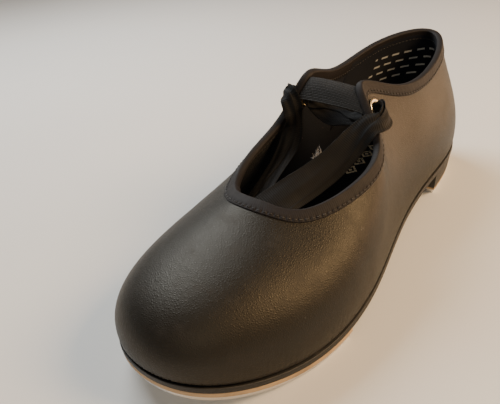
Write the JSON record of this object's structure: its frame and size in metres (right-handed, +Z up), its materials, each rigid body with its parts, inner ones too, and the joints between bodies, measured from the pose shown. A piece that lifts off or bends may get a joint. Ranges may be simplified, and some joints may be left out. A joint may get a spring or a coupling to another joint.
{
  "type": "ribbon-tie tap shoe",
  "caption": "Left ribbon-tie tap shoe: lasted one-piece upper with bound topline, two eyelet tabs joined by elastic, low heel, screwed toe and heel taps on fibre boards.",
  "frame": {"origin": "middle of the shoe's box on the ground, under the waist", "axes": "+Z up from the ground, toe towards -Y, heel towards +Y, outer side of the left foot towards +X"},
  "size_m": [0.0926, 0.2527, 0.0832],
  "materials": {
    "upper_leather": "semi-gloss, fine pebble grain",
    "sole_rubber": "satin, moulded",
    "insole_fibreboard": "matte pressed fibre",
    "cork_filler": "matte cork granules",
    "cushion_foam": "matte open-cell foam",
    "sock_cloth": "matte dark navy-black",
    "lining_cloth": "matte dark navy-black",
    "grip_cloth": "short nap",
    "stiffener_cloth": "resin-stiffened weave",
    "binding_tape": "ribbed grosgrain",
    "elastic_webbing": "ribbed knit",
    "ribbon_grosgrain": "ribbed grosgrain",
    "eyelet_brass": "plated, lightly worn",
    "tan_fibreboard": "matte pressed fibre",
    "tap_aluminium": "cast, buffed",
    "zinc_plated_steel": "zinc plated"
  },
  "bodies": {
    "shoe": {"outsole": "sole_rubber", "heel_block": "sole_rubber", "insole_board": "insole_fibreboard", "bottom_filler": "cork_filler", "shank": "zinc_plated_steel", "insole_foam": "cushion_foam", "sock_lining": "sock_cloth", "heel_nails": "zinc_plated_steel", "upper": "upper_leather", "upper_lining": "lining_cloth", "toe_puff": "stiffener_cloth", "heel_counter": "insole_fibreboard", "heel_grip_lining": "grip_cloth", "lateral_tab_stay": "stiffener_cloth", "medial_tab_stay": "stiffener_cloth", "topline_binding": "binding_tape", "instep_elastic": "elastic_webbing", "lateral_eyelet": "eyelet_brass", "medial_eyelet": "eyelet_brass", "lateral_eyelet_washer": "eyelet_brass", "medial_eyelet_washer": "eyelet_brass", "ribbon_tie": "ribbon_grosgrain", "toe_sounding_board": "tan_fibreboard", "heel_sounding_board": "tan_fibreboard", "toe_tap": "tap_aluminium", "heel_tap": "tap_aluminium"},
    "toe_screw_front": {"toe_screw_front": "zinc_plated_steel"},
    "toe_screw_outer": {"toe_screw_outer": "zinc_plated_steel"},
    "toe_screw_inner": {"toe_screw_inner": "zinc_plated_steel"},
    "heel_screw_back": {"heel_screw_back": "zinc_plated_steel"},
    "heel_screw_outer": {"heel_screw_outer": "zinc_plated_steel"},
    "heel_screw_inner": {"heel_screw_inner": "zinc_plated_steel"}
  },
  "joints": [
    {"name": "toe_screw_turn_front", "type": "hinge", "parent": "shoe", "child": "toe_screw_front", "pos_m": [0, -0.102, 0.00345], "axis": [0, -0.2133, -0.977], "continuous": true},
    {"name": "toe_screw_turn_outer", "type": "hinge", "parent": "shoe", "child": "toe_screw_outer", "pos_m": [0.025, -0.064, 0], "axis": [0, 0, -1], "continuous": true},
    {"name": "toe_screw_turn_inner", "type": "hinge", "parent": "shoe", "child": "toe_screw_inner", "pos_m": [-0.027, -0.064, 0], "axis": [0, 0, -1], "continuous": true},
    {"name": "heel_screw_turn_back", "type": "hinge", "parent": "shoe", "child": "heel_screw_back", "pos_m": [-0.0035, 0.112, 0], "axis": [0, 0, -1], "continuous": true},
    {"name": "heel_screw_turn_outer", "type": "hinge", "parent": "shoe", "child": "heel_screw_outer", "pos_m": [0.0155, 0.084, 0], "axis": [0, 0, -1], "continuous": true},
    {"name": "heel_screw_turn_inner", "type": "hinge", "parent": "shoe", "child": "heel_screw_inner", "pos_m": [-0.0225, 0.084, 0], "axis": [0, 0, -1], "continuous": true}
  ]
}
